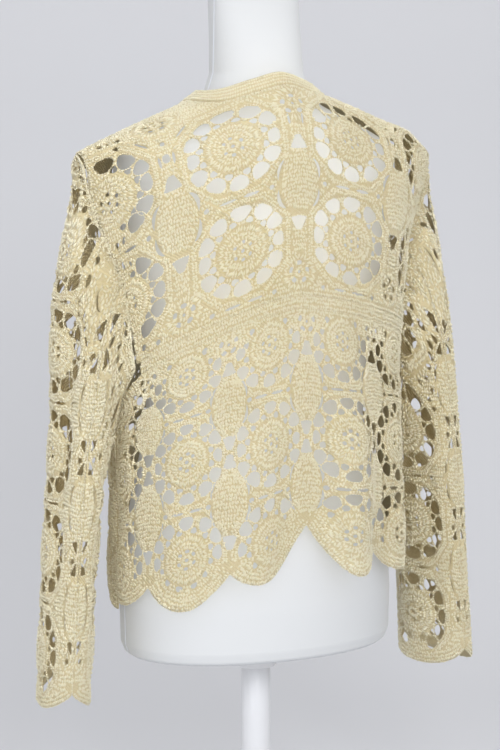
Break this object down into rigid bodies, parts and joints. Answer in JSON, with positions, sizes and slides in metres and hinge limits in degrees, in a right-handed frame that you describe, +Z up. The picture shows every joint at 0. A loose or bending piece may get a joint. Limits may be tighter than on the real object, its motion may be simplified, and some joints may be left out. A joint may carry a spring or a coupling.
{
  "type": "crochet cardigan on a dress form",
  "caption": "Open-front cotton crochet lace cardigan with long scalloped sleeves, worn by a plain limbless dress form on a round stand.",
  "frame": {"origin": "middle of the underside of the stand's round base", "axes": "+Z up; the cardigan's open front faces -Y and the wearer's left is +X"},
  "size_m": [0.545, 0.3, 1.0313],
  "materials": {
    "crochet_cotton": "matt mercerised cotton crochet",
    "form_cover": "smooth white jersey",
    "stand_paint": "satin white paint"
  },
  "bodies": {
    "root": {"back_yoke": "crochet_cotton", "yoke_seam_band": "crochet_cotton", "back_body": "crochet_cotton", "front_left": "crochet_cotton", "front_right": "crochet_cotton", "neckband": "crochet_cotton", "sleeve_left_outer": "crochet_cotton", "sleeve_left_inner": "crochet_cotton", "sleeve_right_outer": "crochet_cotton", "sleeve_right_inner": "crochet_cotton", "form_torso": "form_cover", "form_neck_cap": "form_cover", "stand_socket": "stand_paint", "stand_pole": "stand_paint", "stand_base": "stand_paint"}
  },
  "joints": []
}
